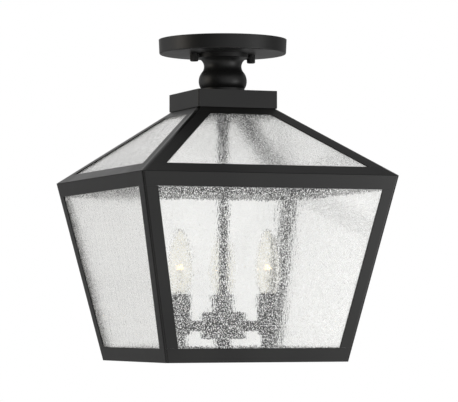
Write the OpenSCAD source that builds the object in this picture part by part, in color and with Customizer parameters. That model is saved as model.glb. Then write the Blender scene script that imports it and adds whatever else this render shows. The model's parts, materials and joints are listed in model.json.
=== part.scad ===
// Porch ceiling lantern: a tapered glass box under a glass hip roof, hung close to
// the ceiling by a turned neck, with three candle lamps on a centre rod.
// Origin: centre of the ceiling plate's rim, on the ceiling plane. +Z is up, the
// whole lantern hangs below z = 0, and the front pane faces -Y.

/* [Ceiling plate] */
// Diameter of the ceiling plate at its rim
canopy_d = 146.8; // [120:0.2:180]
// Depth of the ceiling plate from rim to underside
canopy_h = 16.5; // [14:0.5:24]
// How much smaller the plate's radius is at the underside
canopy_draft = 0.7; // [0:0.1:3]
// Wall of the pressed ceiling plate
canopy_wall = 1.2; // [0.8:0.1:2]
// Radius of the plate's lower edge
canopy_edge_r = 1.6; // [0.5:0.1:3]
// Width of the foam seal inside the rim
gasket_w = 8; // [4:0.5:12]
// Thickness of the foam seal
gasket_t = 4; // [2:0.5:6]

/* [Ceiling strap] */
// Width of both strap bars
strap_w = 19; // [16:0.5:24]
// Thickness of both strap bars
strap_t = 1.6; // [1.2:0.1:2.5]
// Length of the bar screwed to the ceiling box
box_strap_len = 104; // [100:1:116]
// Drop of that bar's middle below its ends
strap_joggle = 2; // [1.5:0.1:3]
// Closest ceiling box screw spacing that the slots take
box_screw_near = 69.85; // [66:0.05:74]
// Widest ceiling box screw spacing that the slots take
box_screw_far = 88.9; // [84:0.05:92]
// Width of the slots for the ceiling box screws
box_slot_w = 4.8; // [4.2:0.1:6]
// Length of the bar that carries the two studs
stud_strap_len = 88; // [80:1:100]
// Distance between the two studs
stud_spacing = 69.85; // [68:0.05:74]
// Diameter of a stud
stud_d = 4.1; // [3.5:0.1:5]
// How far a stud stands out below the ceiling plate
stud_out = 6.8; // [5:0.1:9]
// Across-flats size of the studs' lock nuts
stud_nut_af = 8.7; // [7:0.1:10]
// Height of the studs' lock nuts
stud_nut_h = 3.1; // [2:0.1:4]

/* [Thumb nuts] */
// Diameter of a thumb nut
thumb_nut_d = 9.6; // [8:0.1:10]
// Height of a thumb nut
thumb_nut_h = 8.2; // [7.5:0.1:12]
// Outer diameter of the washer above it
washer_d = 10; // [9:0.1:10.4]
// Thickness of the washer
washer_t = 0.8; // [0.5:0.1:1.5]

/* [Neck and stem] */
// Height of the turned neck
neck_h = 44.5; // [40:0.5:56]
// Radius of the neck's flare where it meets the ceiling plate
neck_flare_r = 29.3; // [26:0.1:29.6]
// Height of the straight collar above the flare
neck_collar_h = 3; // [1.5:0.1:5]
// Radius of the neck at its waist
neck_waist_r = 21.5; // [19:0.1:23]
// Depth of the waist below the ceiling plate
neck_waist_at = 14.2; // [13:0.1:16]
// Radius of the hollow curve at the waist
neck_cove_r = 10; // [9:0.1:11]
// Radius of the neck at its bulge
neck_bulge_r = 27.6; // [25:0.1:30]
// Depth of the bulge below the ceiling plate
neck_bulge_at = 31; // [29:0.1:33]
// Radius of the neck's foot on the cap
neck_foot_r = 25; // [22:0.1:27]
// Wall left at the waist around the hollow inside
neck_wall = 4; // [2.5:0.1:8]
// Diameter of the threaded stem pipe
pipe_d = 10.2; // [9.5:0.1:12]
// Bore of the stem pipe and the rod, for the wires
pipe_bore = 6.6; // [5:0.1:7.5]
// Diameter of the visible centre rod
rod_d = 11; // [10.8:0.1:13]
// Diameter of the coupling sleeve under the cap
coupler_d = 15; // [14:0.5:18]
// Length of the coupling sleeve
coupler_len = 20; // [14:1:26]

/* [Cap and roof] */
// Width of the square cap
cap_w = 96; // [84:0.5:110]
// Height of the square cap
cap_h = 20; // [14:0.5:28]
// How far the cap stands out over the roof's top edge
cap_overhang = 1.2; // [0.4:0.1:3]
// Width of the roof at the eave
eave_w = 304.8; // [280:0.2:330]
// Height of the roof from the cap to the eave
roof_h = 79.5; // [60:0.5:100]
// Visible width of the rail under the cap
roof_top_rail_w = 13.3; // [12:0.1:18]
// Width of the flange that the cap stands on
cap_flange_w = 11.8; // [9:0.1:14]
// Width of the strap that clamps the roof to the cap
roof_strap_w = 20; // [16:0.5:26]
// Thickness of that strap
roof_strap_t = 2; // [1.5:0.1:3]

/* [Body] */
// Height of the body from the eave to its bottom
body_h = 207; // [180:1:240]
// Width of the body at its bottom
bottom_w = 217.5; // [190:0.5:250]
// How far the roof's edge stands out over the body
eave_overhang = 0.5; // [0.3:0.1:2]
// Width of every rail and post on its face
rail_w = 15.9; // [14:0.1:20]
// Thickness of the frame's sheet metal
sheet_t = 1.2; // [0.8:0.1:1.6]
// Width of the flanges that join roof and body
eave_flange_w = 13.5; // [12:0.1:16]
// Width of the bottom lip that carries the panes
bottom_lip_w = 8; // [6:0.1:12]
// Radius of a rivet's shank in the eave flanges
rivet_r = 1.6; // [1.2:0.1:2]
// Radius of a rivet's head
rivet_head_r = 3; // [2.4:0.1:3.4]
// Height of a rivet's head
rivet_head_h = 1; // [0.6:0.1:1.4]

/* [Panes] */
// Thickness of the seeded glass
glass_t = 3; // [2:0.1:4]
// Distance from a corner line to the edge of a pane
pane_inset = 7; // [6:0.1:8]
// How far a pane reaches behind the rails above and below it
pane_lap = 7.5; // [5:0.1:8.5]
// Length of a glazing clip
clip_len = 10; // [6:0.5:16]
// Thickness of a glazing clip
clip_t = 0.8; // [0.5:0.1:1]
// How far a clip's lip reaches over the glass
clip_lip = 4.2; // [2:0.1:5]

/* [Lamp cluster] */
// Depth of the hub's top below the eave
hub_drop = 151; // [140:0.5:160]
// Diameter of the hub
hub_d = 50; // [44:0.5:56]
// Height of the hub with its cover
hub_h = 30.5; // [26:0.5:36]
// Wall of the hub
hub_wall = 1.5; // [1:0.1:2.5]
// Radius of the hub's upper edge
hub_edge_r = 4; // [1:0.5:6]
// Thickness of the hub's bottom cover
hub_cover_t = 1.5; // [1:0.1:3]
// Radius of the finial under the hub
finial_r = 9; // [8:0.1:12]
// Length of the finial
finial_len = 17; // [15:0.5:20]
// Distance from the rod to each lamp
lamp_radius = 57.5; // [50:0.5:66]
// Direction of the first lamp in plan, from +X
first_lamp_angle = 70; // [40:1:100]
// Diameter of an arm
arm_d = 12; // [11:0.1:14]
// Depth of the arms below the hub's top
arm_drop = 15.8; // [14:0.1:17]
// Outer diameter of a lamp cup
cup_d = 23.8; // [22:0.1:27]
// Height of a lamp cup
cup_h = 47; // [44:0.5:56]
// Wall of a lamp cup
cup_wall = 1.1; // [0.8:0.1:1.5]
// How far a cup's mouth stands above the hub's top
cup_rise = 20.3; // [16:0.1:26]
// Radius of a cup's lower edge
cup_edge_r = 5; // [3:0.1:6]
// Radius of the small finial under a cup
cup_finial_r = 7.2; // [6.5:0.1:9]
// Length of the small finial under a cup
cup_finial_len = 17; // [12:0.5:20]

/* [Lampholder and bulb] */
// Outer radius of a lampholder
socket_r = 9.7; // [8.5:0.1:10]
// Depth of the lampholder's mouth below the cup's mouth
socket_sink = 4.5; // [3:0.1:8]
// Height of the lampholder's wide part
socket_h = 26; // [24:0.5:28]
// Diameter of a bulb's screw base
base_d = 11.8; // [11.4:0.1:12.4]
// Length of a bulb's screw base with its contact
base_len = 18; // [16:0.5:20]
// Widest diameter of the bulb glass
bulb_d = 27; // [24:0.5:34]
// Height of the bulb glass above the cup's mouth
bulb_h = 74; // [60:1:84]
// Height of the bulb's widest place above the cup's mouth
bulb_belly_at = 24; // [18:0.5:30]
// Wall of the bulb glass
bulb_wall = 0.8; // [0.5:0.1:1.2]
// Height of the filament's middle above the cup's mouth
filament_at = 33; // [28:0.5:38]

/* [Hidden] */

// Clearances
seat_gap = 0.1;        // between pieces that rest on each other across a joint
butt_gap = 0.05;       // between the end of a post or hip and its band
loose_gap = 0.3;       // between pieces that stay apart
thread_gap = 0.05;     // radial, between a thread and its nut
hole_gap = 0.2;        // radial, around a pipe or screw in a sheet
stud_hole_gap = 0.6;   // radial, around a stud in the ceiling plate
glass_gap = 0.1;       // between a pane and the metal or clip beside it
edge_sink = 0.4;       // a flange's edge behind the face of its rail

// Heights on the axis, from the ceiling plane down
canopy_z = -canopy_h;
cap_top_z = canopy_z - neck_h;
cap_z = cap_top_z - cap_h;
eave_z = cap_z - roof_h;
bottom_z = eave_z - body_h;
strap_z = -strap_joggle;
stud_strap_z = strap_z - strap_t - seat_gap;
stud_nut_z = stud_strap_z - strap_t;
flange_z = cap_z - sheet_t;
coupler_z = flange_z - roof_strap_t;
hub_z = eave_z - hub_drop;
hub_bottom_z = hub_z - hub_h;
arm_z = hub_z - arm_drop;
cup_z = hub_z + cup_rise;
cup_bottom_z = cup_z - cup_h;
socket_z = cup_z - socket_sink;

// Four-sided frames as [half width at top, top z, half width at bottom, bottom z]
roof = [cap_w / 2 - cap_overhang, cap_z, eave_w / 2, eave_z];
body_top_z = eave_z - loose_gap;
body = [eave_w / 2 - eave_overhang, body_top_z, bottom_w / 2, bottom_z];

// Other derived sizes
pipe_r = pipe_d / 2;
nut_bore_r = stud_d / 2 + thread_gap;
stud_end_z = canopy_z - stud_out;
washer_z = canopy_z - seat_gap;
thumb_nut_z = washer_z - washer_t - thread_gap;
canopy_nut_af = 17;
canopy_nut_h = 4;
pipe_end = 3;          // of the stem pipe above its nut
pipe_split = 1;        // between the stem pipe and the rod in the coupling
thread_in = 8;         // of the rod's thread in the finial
eyelet_r = 6;
eyelet_wall = 1.2;
eyelet_lip = 2.2;
eyelet_lip_t = 0.8;
ground_at = 17;
ground_r = 2.4;
ground_head_r = 4.6;
ground_head_h = 2.6;
cover_rim = 0.3;
cup_stud_up = 10;      // of a small finial's thread above the cup's floor
base_neck = 3;         // of the bulb glass below the cup's mouth
neck_glass_r = 6.4;    // of the bulb glass where it enters its base
contact_h = 1.2;
contact_r = 2.4;
insulator_h = 3;
bulb_swell = 0.85;     // how soon the bulb glass widens above its neck
bulb_shoulder = 2.2;   // how long it stays wide above its belly
bulb_tip = 0.6;        // how round it closes
knob_dome = 0.8;       // height of a knob's round end as a share of its radius
clip_foot = 4.7;       // of a glazing clip along the back of its post
lamps = [0, 1, 2];
cut = 1;               // by which a cutting shape passes the face it cuts
big = 2 * eave_w;
$fn = 96;

// ---------- geometry of a four-sided tapered frame ----------
// p is a frame, v is the distance down a face from its top edge
function face_len(p) = norm([p[2] - p[0], p[1] - p[3]]);
function face_tilt(p) = atan2(p[1] - p[3], p[2] - p[0]);
function edge_lean(p) = atan((p[2] - p[0]) / face_len(p));
function half_at(p, v) = p[0] + (p[2] - p[0]) * v / face_len(p);
function inset_at(p, v, w) = half_at(p, v) - w / cos(edge_lean(p));
function drop(p, v) = v * sin(face_tilt(p));
function run(p, z) = (p[1] - z) / sin(face_tilt(p));

// Puts a face drawn on the XY plane, top edge on the X axis, onto side n of frame p
module on_side(p, n) {
    rotate([0, 0, 90 * n])
        translate([0, -p[0], p[1]])
            rotate([face_tilt(p), 0, 0])
                children();
}

// A sheet behind side n, between two depths under the outer face
module side_sheet(p, n, v0, v1, inset, depth0, depth1) {
    on_side(p, n)
        translate([0, 0, -depth1])
            linear_extrude(height = depth1 - depth0)
                polygon([
                    [-inset_at(p, v0, inset), -v0], [inset_at(p, v0, inset), -v0],
                    [inset_at(p, v1, inset), -v1], [-inset_at(p, v1, inset), -v1]
                ]);
}

// All that lies deeper than depth under each of the given sides
module inside(p, sides, depth, size) {
    intersection_for (n = sides)
        on_side(p, n)
            translate([-size, -size, -depth - size])
                cube([2 * size, 2 * size, size]);
}

// All that lies further than the rail's width from the right (dir = 1) or left
// (dir = -1) edge of side n
module past_rail(p, n, dir) {
    on_side(p, n)
        mirror([dir > 0 ? 0 : 1, 0, 0])
            translate([inset_at(p, 0, rail_w), 0, 0])
                rotate([0, 0, edge_lean(p)])
                    translate([-3 * big, -2 * big, -2 * big])
                        cube([3 * big, 4 * big, 4 * big]);
}

// What lies between two heights
module between(z_low, z_high) {
    intersection() {
        children();
        translate([-big / 2, -big / 2, z_low])
            cube([big, big, z_high - z_low]);
    }
}

// The sheet ring of a frame between two heights
module ring(p, z_low, z_high) {
    between(z_low, z_high)
        difference() {
            inside(p, [0:3], 0, big);
            inside(p, [0:3], sheet_t, 1.5 * big);
        }
}

// The angle along the corner between sides n and n + 1, between two heights
module corner_angle(p, n, z_low, z_high) {
    between(z_low, z_high)
        difference() {
            inside(p, [n, n + 1], 0, big);
            inside(p, [n, n + 1], sheet_t, 1.5 * big);
            past_rail(p, n, 1);
            past_rail(p, n + 1, -1);
        }
}

// A flat square flange, top face at z
module square_flange(half_out, width, z) {
    inner = half_out - width;
    translate([0, 0, z - sheet_t])
        linear_extrude(height = sheet_t)
            difference() {
                square(2 * half_out, center = true);
                square(2 * inner, center = true);
            }
}

// An upright ring or tube, top face at z
module tube(r_out, r_in, h, z) {
    translate([0, 0, z - h])
        difference() {
            cylinder(r = r_out, h = h);
            translate([0, 0, -cut])
                cylinder(r = r_in, h = h + 2 * cut);
        }
}

// A six-sided nut, top face at z
module hex_nut(flats, bore_r, h, z) {
    translate([0, 0, z - h])
        difference() {
            cylinder(d = flats / cos(30), h = h, $fn = 6);
            translate([0, 0, -cut])
                cylinder(r = bore_r, h = h + 2 * cut);
        }
}

// Points of an arc about [x, y] from angle a0 to a1
function arc(x, y, r, a0, a1, steps) = [
    for (i = [0:steps])
        let (a = a0 + (a1 - a0) * i / steps)
            [x + r * cos(a), y + r * sin(a)]
];

// ---------- ceiling strap ----------
module black_steel() {
    color("#363637")
        children();
}

module zinc_steel() {
    color("#b9bcbf")
        children();
}

// Flat bar with its middle dropped clear of the ceiling, slotted for the box screws
module box_strap() {
    y_end = box_strap_len / 2;
    y_bend = box_screw_near / 2 - box_slot_w - strap_joggle;
    y_flat = y_bend - 2 * strap_joggle;
    low = strap_z;
    zinc_steel()
        difference() {
            translate([-strap_w / 2, 0, 0])
                rotate([90, 0, 90])
                    linear_extrude(height = strap_w)
                        polygon([
                            [-y_end, 0], [-y_bend, 0], [-y_flat, low], [y_flat, low],
                            [y_bend, 0], [y_end, 0], [y_end, -strap_t], [y_bend, -strap_t],
                            [y_flat, low - strap_t], [-y_flat, low - strap_t],
                            [-y_bend, -strap_t], [-y_end, -strap_t]
                        ]);
            for (side = [-1, 1])
                slot_cut(side);
            translate([0, 0, low - strap_t - cut])
                cylinder(r = eyelet_r + thread_gap, h = strap_t + 2 * cut);
        }
}

// Slot for one ceiling box screw
module slot_cut(side) {
    slot_r = box_slot_w / 2;
    for (at = [box_screw_near / 2, box_screw_far / 2])
        translate([0, side * at, -strap_t - cut])
            cylinder(r = slot_r, h = strap_t + 2 * cut);
    translate([-slot_r, side * (box_screw_near + box_screw_far) / 4, -strap_t - cut])
        translate([0, -(box_screw_far - box_screw_near) / 4, 0])
            cube([box_slot_w, (box_screw_far - box_screw_near) / 2, strap_t + 2 * cut]);
}

// Bar under it with the two threaded holes for the studs
module stud_strap() {
    half = stud_strap_len / 2;
    zinc_steel()
        translate([0, 0, stud_nut_z])
            difference() {
                intersection() {
                    translate([-half, -strap_w / 2, 0])
                        cube([stud_strap_len, strap_w, strap_t]);
                    cylinder(r = half, h = strap_t);
                }
                for (side = [-1, 1])
                    translate([side * stud_spacing / 2, 0, -cut])
                        cylinder(r = nut_bore_r, h = strap_t + 2 * cut);
                translate([ground_at, 0, -cut])
                    cylinder(r = ground_r + thread_gap, h = strap_t + 2 * cut);
                translate([0, 0, -cut])
                    cylinder(r = eyelet_r + thread_gap, h = strap_t + 2 * cut);
            }
}

// Hollow rivet on which the two bars turn to line the lantern up
module strap_eyelet() {
    grip = 2 * strap_t + seat_gap;
    color("#c9a227") {
        tube(eyelet_r, eyelet_r - eyelet_wall, grip + 2 * eyelet_lip_t, strap_z + eyelet_lip_t);
        tube(eyelet_r + eyelet_lip, eyelet_r - eyelet_wall, eyelet_lip_t, strap_z + eyelet_lip_t);
        tube(eyelet_r + eyelet_lip, eyelet_r - eyelet_wall, eyelet_lip_t, stud_nut_z);
    }
}

// Green earth screw with a washer head
module ground_screw() {
    color("#2f7d4f")
        translate([ground_at, 0, 0]) {
            translate([0, 0, stud_nut_z])
                cylinder(r = ground_r, h = strap_t);
            translate([0, 0, stud_nut_z - sheet_t])
                cylinder(r = ground_head_r, h = sheet_t);
            translate([0, 0, stud_nut_z - ground_head_h])
                cylinder(r = ground_head_r * cos(30), h = ground_head_h, $fn = 6);
        }
}

module mounting_studs() {
    point = stud_d / 8;
    top = strap_z + eyelet_lip_t;
    zinc_steel()
        for (side = [-1, 1])
            translate([side * stud_spacing / 2, 0, 0]) {
                translate([0, 0, stud_end_z + point])
                    cylinder(d = stud_d, h = top - stud_end_z - point);
                translate([0, 0, stud_end_z])
                    cylinder(d1 = stud_d - 2 * point, d2 = stud_d, h = point);
            }
}

module stud_lock_nuts() {
    zinc_steel()
        for (side = [-1, 1])
            translate([side * stud_spacing / 2, 0, 0])
                hex_nut(stud_nut_af, nut_bore_r, stud_nut_h, stud_nut_z);
}

// ---------- ceiling plate ----------
function canopy_r(z) = canopy_d / 2 + canopy_draft * z / canopy_h;

// Outline of half the pressed plate, grown inwards by t
function canopy_line(t) = concat(
    [[0, canopy_z + t]],
    arc(canopy_r(canopy_z) - canopy_edge_r, canopy_z + canopy_edge_r, canopy_edge_r - t,
        -90, 0, 8),
    [[canopy_r(0) - t, 0]]
);

// Open pan with a rounded lower edge, holes for the stem and the two studs
module canopy() {
    inner = canopy_line(canopy_wall);
    black_steel()
        difference() {
            rotate_extrude()
                polygon(concat(
                    canopy_line(0),
                    [for (i = [len(inner) - 1:-1:0]) inner[i]]
                ));
            translate([0, 0, canopy_z - cut])
                cylinder(r = pipe_r + hole_gap, h = canopy_wall + 2 * cut);
            for (side = [-1, 1])
                translate([side * stud_spacing / 2, 0, canopy_z - cut])
                    cylinder(r = stud_d / 2 + stud_hole_gap, h = canopy_wall + 2 * cut);
        }
}

// Foam ring that seals the plate to the ceiling
module canopy_gasket() {
    r_out = canopy_r(-gasket_t) - canopy_wall - loose_gap;
    color("#2b2b2d")
        tube(r_out, r_out - gasket_w, gasket_t, 0);
}

module canopy_locknut() {
    zinc_steel()
        hex_nut(canopy_nut_af, pipe_r + thread_gap, canopy_nut_h,
            canopy_z + canopy_wall + canopy_nut_h);
}

// ---------- thumb nuts ----------
module nut_washer(side) {
    black_steel()
        translate([side * stud_spacing / 2, 0, 0])
            tube(washer_d / 2, nut_bore_r + hole_gap, washer_t, washer_z);
}

// Blind nut: threaded from above, with a chamfered lower rim
module thumb_nut(side) {
    rim = thumb_nut_d / 12;
    bore_h = stud_end_z - loose_gap - (thumb_nut_z - thumb_nut_h);
    black_steel()
        translate([side * stud_spacing / 2, 0, thumb_nut_z - thumb_nut_h])
            difference() {
                rotate_extrude()
                    polygon([
                        [0, 0], [thumb_nut_d / 2 - rim, 0], [thumb_nut_d / 2, rim],
                        [thumb_nut_d / 2, thumb_nut_h], [0, thumb_nut_h]
                    ]);
                translate([0, 0, bore_h])
                    cylinder(r = nut_bore_r, h = thumb_nut_h);
            }
}

// ---------- neck and stem ----------
// The bulge's arc is tangent to the cove's
cove_x = neck_waist_r + neck_cove_r;
bulge_gap = cove_x - neck_bulge_r;
bulge_reach = neck_bulge_at - neck_waist_at;
bulge_arc_r = (pow(bulge_gap, 2) + pow(bulge_reach, 2) - pow(neck_cove_r, 2))
    / (2 * (neck_cove_r - bulge_gap));
bulge_x = neck_bulge_r - bulge_arc_r;
tangent_a = atan2(bulge_reach, cove_x - bulge_x);
flare_a = acos((cove_x - neck_flare_r) / neck_cove_r);
foot_a = acos(min(1, (neck_foot_r - bulge_x) / bulge_arc_r));

// Turned neck, as radius against depth below the ceiling plate
function neck_line() = concat(
    [[neck_flare_r, 0], [neck_flare_r, neck_collar_h]],
    arc(cove_x, neck_waist_at, neck_cove_r, 180 + flare_a, 180 - tangent_a, 20),
    arc(bulge_x, neck_bulge_at, bulge_arc_r, -tangent_a, foot_a, 20),
    [[neck_foot_r, neck_h]]
);

module neck() {
    hollow_r = neck_waist_r - neck_wall;
    black_steel()
        translate([0, 0, canopy_z])
            difference() {
                rotate_extrude()
                    polygon(concat([[0, 0]], [for (q = neck_line()) [q[0], -q[1]]], [[0, -neck_h]]));
                translate([0, 0, -neck_h + neck_wall])
                    cylinder(r = hollow_r, h = neck_h);
                translate([0, 0, -neck_h - cut])
                    cylinder(r = pipe_r + hole_gap, h = neck_h);
            }
}

// Threaded pipe that clamps plate, neck, cap and roof together
nipple_top_z = canopy_z + canopy_wall + canopy_nut_h + pipe_end;
nipple_end_z = coupler_z - coupler_len / 2 + pipe_split / 2;
module stem_nipple() {
    color("#c8a24a")
        tube(pipe_r, pipe_bore / 2, nipple_top_z - nipple_end_z, nipple_top_z);
}

module stem_coupler() {
    black_steel()
        tube(coupler_d / 2, pipe_r + thread_gap, coupler_len, coupler_z);
}

// Rod from the coupling to the finial, thinner where it is threaded
module centre_rod() {
    top_z = nipple_end_z - pipe_split;
    shoulder_z = coupler_z - coupler_len;
    end_z = hub_bottom_z - thread_in;
    black_steel() {
        tube(pipe_r, pipe_bore / 2, top_z - end_z, top_z);
        tube(rod_d / 2, pipe_bore / 2, shoulder_z - hub_z, shoulder_z);
    }
}

// ---------- cap and roof ----------
// Square cap, open below
module roof_cap() {
    black_steel()
        translate([0, 0, cap_z])
            difference() {
                translate([-cap_w / 2, -cap_w / 2, 0])
                    cube([cap_w, cap_w, cap_h]);
                translate([sheet_t - cap_w / 2, sheet_t - cap_w / 2, -cut])
                    cube([cap_w - 2 * sheet_t, cap_w - 2 * sheet_t, cap_h - sheet_t + cut]);
                translate([0, 0, -cut])
                    cylinder(r = pipe_r + hole_gap, h = cap_h + 2 * cut);
            }
}

// Bar across the roof's top opening that pulls the roof against the cap
module roof_strap() {
    half = roof[0] - cap_flange_w / 2;
    black_steel()
        translate([0, 0, coupler_z])
            difference() {
                translate([-half, -roof_strap_w / 2, 0])
                    cube([2 * half, roof_strap_w, roof_strap_t]);
                translate([0, 0, -cut])
                    cylinder(r = pipe_r + hole_gap, h = roof_strap_t + 2 * cut);
            }
}

roof_top_z = cap_z - drop(roof, roof_top_rail_w);
roof_low_z = eave_z + drop(roof, rail_w);

module roof_top_band() {
    black_steel() {
        ring(roof, roof_top_z, cap_z);
        square_flange(roof[0] - edge_sink, cap_flange_w, cap_z);
    }
}

module roof_eave_band() {
    flange_half = roof[2] - sheet_t / tan(face_tilt(roof)) - edge_sink;
    black_steel()
        difference() {
            union() {
                ring(roof, eave_z, roof_low_z);
                square_flange(flange_half, eave_flange_w, eave_z + sheet_t);
            }
            rivet_holes();
        }
}

module hip_rail(n) {
    black_steel()
        corner_angle(roof, n, roof_low_z + butt_gap, roof_top_z - butt_gap);
}

// ---------- body frame ----------
body_eave_low_z = body_top_z - drop(body, rail_w);
body_bottom_high_z = bottom_z + drop(body, rail_w);

module body_eave_band() {
    flange_half = body[0] - edge_sink;
    black_steel()
        difference() {
            union() {
                ring(body, body_eave_low_z, body_top_z);
                square_flange(flange_half, eave_flange_w, body_top_z);
            }
            rivet_holes();
        }
}

module body_bottom_band() {
    black_steel() {
        ring(body, bottom_z, body_bottom_high_z);
        square_flange(body[2] - sheet_t / 2, bottom_lip_w, bottom_z + sheet_t);
    }
}

module corner_post(n) {
    black_steel()
        corner_angle(body, n, body_bottom_high_z + butt_gap, body_eave_low_z - butt_gap);
}

// One rivet in each corner of the two eave flanges
rivet_at = eave_w / 2 - eave_flange_w / 2 - 2 * edge_sink;

module at_corners(half) {
    for (x = [-half, half], y = [-half, half])
        translate([x, y, 0])
            children();
}

module rivet_holes() {
    at_corners(rivet_at)
        translate([0, 0, body_top_z - sheet_t - cut])
            cylinder(r = rivet_r + thread_gap, h = 2 * sheet_t + loose_gap + 2 * cut);
}

module eave_rivets() {
    grip = 2 * sheet_t + loose_gap;
    low_z = body_top_z - sheet_t;
    zinc_steel()
        at_corners(rivet_at) {
            translate([0, 0, low_z])
                cylinder(r = rivet_r, h = grip);
            translate([0, 0, low_z - rivet_head_h])
                cylinder(r1 = rivet_head_r - rivet_head_h / 2, r2 = rivet_head_r, h = rivet_head_h);
            translate([0, 0, low_z + grip])
                cylinder(r2 = rivet_head_r - rivet_head_h / 2, r1 = rivet_head_r, h = rivet_head_h);
        }
}

// ---------- panes ----------
pane_depth = sheet_t + glass_gap;

// A roof pane ends above the eave flange, also at its lower inner edge
module roof_pane(n) {
    lift = sheet_t + glass_gap + (pane_depth + glass_t) * cos(face_tilt(roof));
    v_low = min(run(roof, roof_low_z) + pane_lap, run(roof, eave_z + lift));
    color("#dde6e1", 0.45)
        side_sheet(roof, n, roof_top_rail_w - pane_lap, v_low, pane_inset,
            pane_depth, pane_depth + glass_t);
}

// A body pane stands just above the bottom lip
module body_pane(n) {
    color("#dde6e1", 0.45)
        side_sheet(body, n, rail_w - pane_lap, run(body, bottom_z + sheet_t + loose_gap),
            pane_inset, pane_depth, pane_depth + glass_t);
}

// Sheet clip soldered behind a post: foot, riser and a lip over the glass
module glazing_clip() {
    riser = pane_inset - loose_gap;
    foot = riser - clip_foot;
    over = pane_depth + glass_t + glass_gap;
    rotate([90, 0, 0])
        linear_extrude(height = clip_len, center = true)
            polygon([
                [-foot, -sheet_t], [-riser, -sheet_t], [-riser, -over],
                [-pane_inset - clip_lip, -over], [-pane_inset - clip_lip, -over - clip_t],
                [-riser + clip_t, -over - clip_t], [-riser + clip_t, -sheet_t - clip_t],
                [-foot, -sheet_t - clip_t]
            ]);
}

// Two clips on each upright edge of each pane
module side_clips(p, v_clips) {
    for (n = [0:3], v = v_clips, flip = [0, 1])
        on_side(p, n)
            mirror([flip, 0, 0])
                translate([half_at(p, v), -v, 0])
                    rotate([0, 0, edge_lean(p)])
                        glazing_clip();
}

module glazing_clips() {
    black_steel() {
        side_clips(roof, [face_len(roof) * 0.35, face_len(roof) * 0.75]);
        side_clips(body, [face_len(body) * 0.25, face_len(body) * 0.75]);
    }
}

// ---------- lamp cluster ----------
module at_lamp(n) {
    rotate([0, 0, first_lamp_angle + 120 * n])
        translate([lamp_radius, 0, 0])
            children();
}

// Hub: a drawn can, open below, with a rounded upper edge
function hub_line(t) = concat(
    [[hub_d / 2 - t, hub_bottom_z + hub_cover_t]],
    arc(hub_d / 2 - hub_edge_r, hub_z - hub_edge_r, hub_edge_r - t, 0, 90, 8),
    [[0, hub_z - t]]
);

module hub() {
    inner = hub_line(hub_wall);
    black_steel()
        difference() {
            rotate_extrude()
                polygon(concat(
                    hub_line(0),
                    [for (i = [len(inner) - 1:-1:0]) inner[i]]
                ));
            translate([0, 0, hub_z - hub_wall - cut])
                cylinder(r = pipe_r + thread_gap, h = hub_wall + 2 * cut);
            for (n = lamps)
                at_lamp(n)
                    arm_bore();
        }
}

// Where an arm's thin end passes the wall of the hub
module arm_bore() {
    translate([0, 0, arm_z])
        rotate([0, -90, 0])
            cylinder(r = pipe_r + thread_gap, h = lamp_radius - hub_d / 2 + 2 * hub_wall);
}

module hub_cover() {
    black_steel()
        tube(hub_d / 2 - cover_rim, pipe_r + hole_gap, hub_cover_t - seat_gap,
            hub_bottom_z + hub_cover_t - seat_gap);
}

// Knob outline with a rounded lower end, as radius against depth
function knob_line(r, length) = concat(
    [[0, 0], [r, 0]],
    [for (q = arc(0, 0, r, 0, -90, 12)) [q[0], knob_dome * (r + q[1]) - length]]
);

module finial() {
    black_steel()
        translate([0, 0, hub_bottom_z - thread_gap])
            difference() {
                rotate_extrude()
                    polygon(knob_line(finial_r, finial_len));
                translate([0, 0, -thread_in - loose_gap])
                    cylinder(r = pipe_r + thread_gap, h = finial_len);
            }
}

// Three tubes from the hub to the cups, saddled to both, with thin ends in their walls
module lamp_arms() {
    black_steel()
        for (n = lamps)
            at_lamp(n)
                lamp_arm();
}

module lamp_arm() {
    hub_x = lamp_radius - hub_d / 2;
    end_in = sqrt(pow(cup_d / 2 - cup_wall, 2) - pow(pipe_r, 2));
    difference() {
        union() {
            translate([0, 0, arm_z])
                rotate([0, -90, 0])
                    cylinder(d = arm_d, h = hub_x);
            translate([0, 0, arm_z])
                rotate([0, -90, 0])
                    cylinder(r = pipe_r, h = hub_x + 2 * hub_wall);
        }
        translate([0, 0, arm_z - arm_d])
            cylinder(r = cup_d / 2 + thread_gap, h = 2 * arm_d);
        translate([-end_in, 0, arm_z])
            rotate([0, -90, 0])
                cylinder(d = pipe_bore, h = lamp_radius);
        intersection() {
            translate([-lamp_radius, 0, arm_z - arm_d])
                cylinder(r = hub_d / 2 + thread_gap, h = 2 * arm_d);
            translate([0, 0, arm_z])
                rotate([0, -90, 0])
                    tube(arm_d, pipe_r, 2 * lamp_radius, lamp_radius);
        }
    }
}

// Lamp cup: drawn tube with a rounded lower end and a hole in its floor
function cup_line(t) = concat(
    [[0, cup_bottom_z + t]],
    arc(cup_d / 2 - cup_edge_r, cup_bottom_z + cup_edge_r, cup_edge_r - t, -90, 0, 8),
    [[cup_d / 2 - t, cup_z]]
);

module lamp_cup(n) {
    inner = cup_line(cup_wall);
    black_steel()
        at_lamp(n)
            difference() {
                rotate_extrude()
                    polygon(concat(
                        cup_line(0),
                        [for (i = [len(inner) - 1:-1:0]) inner[i]]
                    ));
                translate([0, 0, cup_bottom_z - cut])
                    cylinder(r = pipe_r + hole_gap, h = cup_wall + 2 * cut);
                translate([-cup_d / 2 + cup_wall * 2, 0, arm_z])
                    rotate([0, -90, 0])
                        cylinder(d = pipe_bore, h = cup_d);
            }
}

// Small knobs whose threads hold the lampholders down in the cups
module cup_finials() {
    black_steel()
        for (n = lamps)
            at_lamp(n)
                translate([0, 0, cup_bottom_z]) {
                    rotate_extrude()
                        polygon(knob_line(cup_finial_r, cup_finial_len));
                    cylinder(r = pipe_r, h = cup_wall + cup_stud_up);
                }
}

socket_bore_r = base_d / 2 + hole_gap;
base_end_z = cup_z - base_neck - base_len;

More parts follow.
